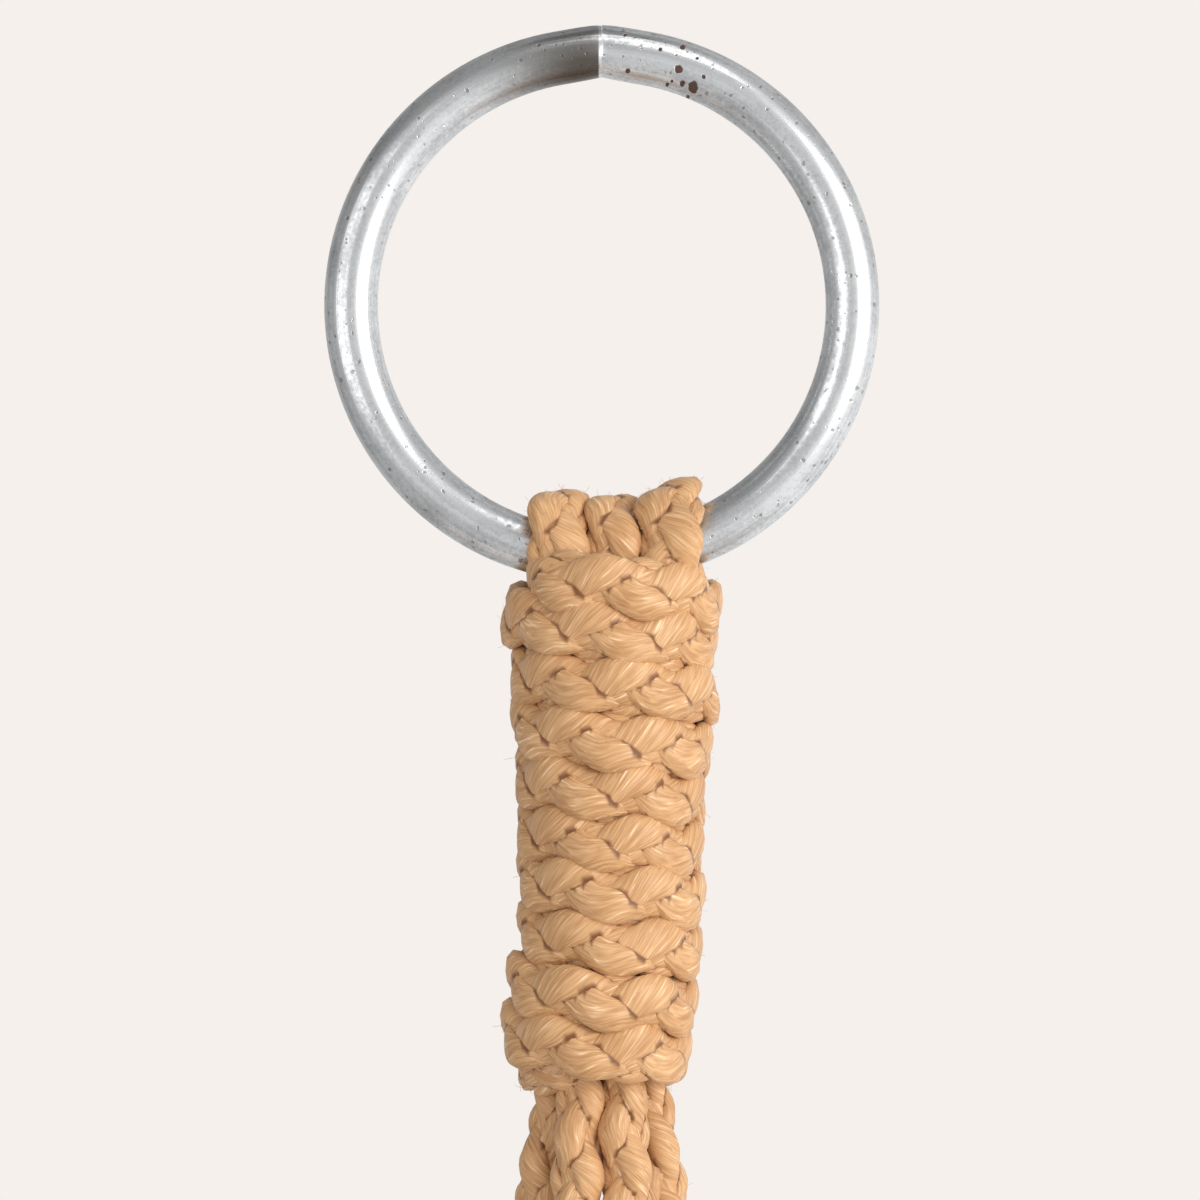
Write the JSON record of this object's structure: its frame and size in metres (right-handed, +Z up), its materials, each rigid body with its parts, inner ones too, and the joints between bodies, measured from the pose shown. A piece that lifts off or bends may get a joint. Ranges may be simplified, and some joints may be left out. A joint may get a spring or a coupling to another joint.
{
  "type": "hanging macrame planter",
  "caption": "Plant hanger of braided cords folded over a welded steel ring, gathered by a wrap, knotted into a cradle that holds a clay pot, with free tails below.",
  "frame": {"origin": "where a hook bears, on the inside of the ring at its top", "axes": "+Z up along the hanger, the ring stands in the XZ plane, -Y is the front"},
  "size_m": [0.1656, 0.1649, 0.9058],
  "materials": {
    "zinc_rod": "zinc plated, satin, with a few rust pits",
    "cord": "braided synthetic cord with a silky sheen",
    "wrap_cord": "the same braided cord, wound tight",
    "clay": "unglazed terracotta, matte"
  },
  "bodies": {
    "ring": {"ring": "zinc_rod"},
    "hanger": {"loop_left": "cord", "loop_middle": "cord", "loop_right": "cord", "top_wrap": "wrap_cord", "arm_1a": "cord", "arm_1b": "cord", "arm_2a": "cord", "arm_2b": "cord", "arm_3a": "cord", "arm_3b": "cord", "arm_knot_1": "cord", "arm_knot_2": "cord", "arm_knot_3": "cord", "cradle_leg_1a": "cord", "cradle_leg_1b": "cord", "cradle_leg_2a": "cord", "cradle_leg_2b": "cord", "cradle_leg_3a": "cord", "cradle_leg_3b": "cord", "cradle_knot_1": "cord", "cradle_knot_2": "cord", "cradle_knot_3": "cord", "under_leg_1a": "cord", "under_leg_1b": "cord", "under_leg_2a": "cord", "under_leg_2b": "cord", "under_leg_3a": "cord", "under_leg_3b": "cord", "lower_wrap": "wrap_cord", "tail_1": "cord", "tail_2": "cord", "tail_3": "cord", "tail_4": "cord", "tail_5": "cord", "tail_6": "cord", "tail_knot_1": "cord", "tail_knot_2": "cord", "tail_knot_3": "cord", "tail_knot_4": "cord", "tail_knot_5": "cord", "tail_knot_6": "cord"},
    "pot": {"pot": "clay"}
  },
  "joints": [
    {"name": "hanger_swing", "type": "hinge", "parent": "ring", "child": "hanger", "pos_m": [0, 0, -0.05339], "axis": [1, 0, 0], "range_deg": [-45, 45]},
    {"name": "pot_turn", "type": "hinge", "parent": "hanger", "child": "pot", "pos_m": [0, 0, -0.62519], "axis": [0, 0, 1], "continuous": true}
  ]
}
